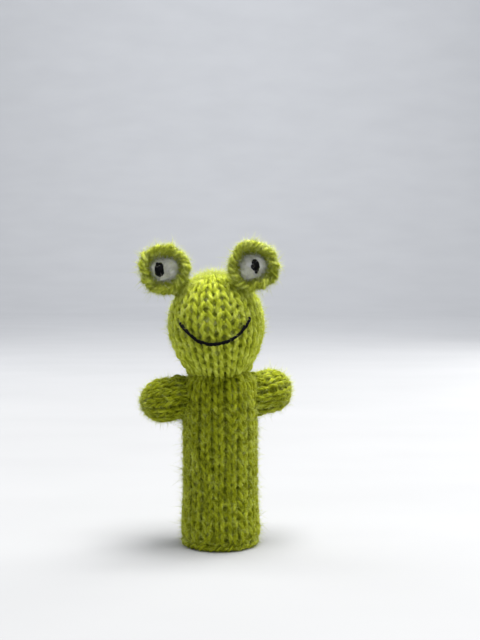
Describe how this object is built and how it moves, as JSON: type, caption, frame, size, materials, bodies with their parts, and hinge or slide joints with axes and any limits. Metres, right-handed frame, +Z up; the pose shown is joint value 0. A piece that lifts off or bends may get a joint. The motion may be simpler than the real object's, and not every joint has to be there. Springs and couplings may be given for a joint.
{
  "type": "finger puppet",
  "caption": "Knitted frog finger puppet with a stuffed head that nods, tilts and turns, stuffed arm nubs, cupped eyes on top, and a tube body that bends with the finger inside.",
  "frame": {"origin": "centre of the finger hole's mouth, on the surface that the puppet stands on", "axes": "+Z up along the body tube, the frog's face looks along -Y, +X is to the right of someone facing it"},
  "size_m": [0.0471, 0.0302, 0.0921],
  "materials": {
    "green_yarn": "fuzzy wool yarn, knitted",
    "sewing_yarn": "wool yarn, sewn",
    "white_yarn": "fuzzy wool",
    "black_thread": "embroidery yarn",
    "stuffing": "loose polyester fibre"
  },
  "bodies": {
    "body_lower": {"cast_on_edge": "green_yarn", "body_lower_knit": "green_yarn", "body_bend_knit": "green_yarn", "back_seam_lower": "sewing_yarn"},
    "body_upper": {"body_upper_knit": "green_yarn", "shoulder_knit": "green_yarn", "back_seam_upper": "sewing_yarn"},
    "neck_gather": {"neck_gather": "green_yarn"},
    "neck_thread": {"neck_thread": "sewing_yarn"},
    "head": {"head_knit": "green_yarn", "head_stuffing": "stuffing", "crown_thread": "sewing_yarn", "back_seam_head": "sewing_yarn", "mouth_stitches": "black_thread", "eye_sewing_left": "sewing_yarn", "eye_sewing_right": "sewing_yarn"},
    "eye_left": {"eye_cup_left": "green_yarn", "eye_white_left": "white_yarn", "pupil_left": "black_thread"},
    "eye_right": {"eye_cup_right": "green_yarn", "eye_white_right": "white_yarn", "pupil_right": "black_thread"},
    "arm_seam_left": {"arm_seam_left": "sewing_yarn"},
    "arm_left": {"arm_knit_left": "green_yarn", "arm_stuffing_left": "stuffing"},
    "arm_seam_right": {"arm_seam_right": "sewing_yarn"},
    "arm_right": {"arm_knit_right": "green_yarn", "arm_stuffing_right": "stuffing"}
  },
  "joints": [
    {"name": "finger_bend", "type": "hinge", "parent": "body_lower", "child": "body_upper", "pos_m": [0, 0, 0.024], "axis": [1, 0, 0], "range_deg": [-8, 40], "stiffness_Nm_per_rad": 0.05, "deforming": ["body_bend_knit"]},
    {"name": "head_turn", "type": "hinge", "parent": "body_upper", "child": "neck_gather", "pos_m": [0, 0, 0.05], "axis": [0, 0, 1], "range_deg": [-30, 30], "stiffness_Nm_per_rad": 0.01},
    {"name": "head_tilt", "type": "hinge", "parent": "neck_gather", "child": "neck_thread", "pos_m": [0, 0, 0.05], "axis": [0, 1, 0], "range_deg": [-15, 15], "stiffness_Nm_per_rad": 0.015},
    {"name": "head_nod", "type": "hinge", "parent": "neck_thread", "child": "head", "pos_m": [0, 0, 0.05], "axis": [1, 0, 0], "range_deg": [-18, 20], "stiffness_Nm_per_rad": 0.015},
    {"name": "eye_left_flop", "type": "hinge", "parent": "head", "child": "eye_left", "pos_m": [-0.01206, -0.0056, 0.07836], "axis": [0.7396, 0, 0.673], "range_deg": [-15, 15], "stiffness_Nm_per_rad": 0.002},
    {"name": "eye_right_flop", "type": "hinge", "parent": "head", "child": "eye_right", "pos_m": [0.00662, -0.0076, 0.07926], "axis": [0.8568, 0, -0.5156], "range_deg": [-15, 15], "stiffness_Nm_per_rad": 0.002},
    {"name": "arm_left_swing", "type": "hinge", "parent": "body_upper", "child": "arm_seam_left", "pos_m": [-0.0139, 0, 0.044], "axis": [0, 0, 1], "range_deg": [-15, 15], "stiffness_Nm_per_rad": 0.002},
    {"name": "arm_left_raise", "type": "hinge", "parent": "arm_seam_left", "child": "arm_left", "pos_m": [-0.0139, 0, 0.044], "axis": [0, 1, 0], "range_deg": [-16, 28], "stiffness_Nm_per_rad": 0.002},
    {"name": "arm_right_swing", "type": "hinge", "parent": "body_upper", "child": "arm_seam_right", "pos_m": [0.01227, 0.00653, 0.045], "axis": [0, 0, 1], "range_deg": [-15, 15], "stiffness_Nm_per_rad": 0.002},
    {"name": "arm_right_raise", "type": "hinge", "parent": "arm_seam_right", "child": "arm_right", "pos_m": [0.01227, 0.00653, 0.045], "axis": [0.4695, -0.8829, 0], "range_deg": [-28, 16], "stiffness_Nm_per_rad": 0.002}
  ]
}
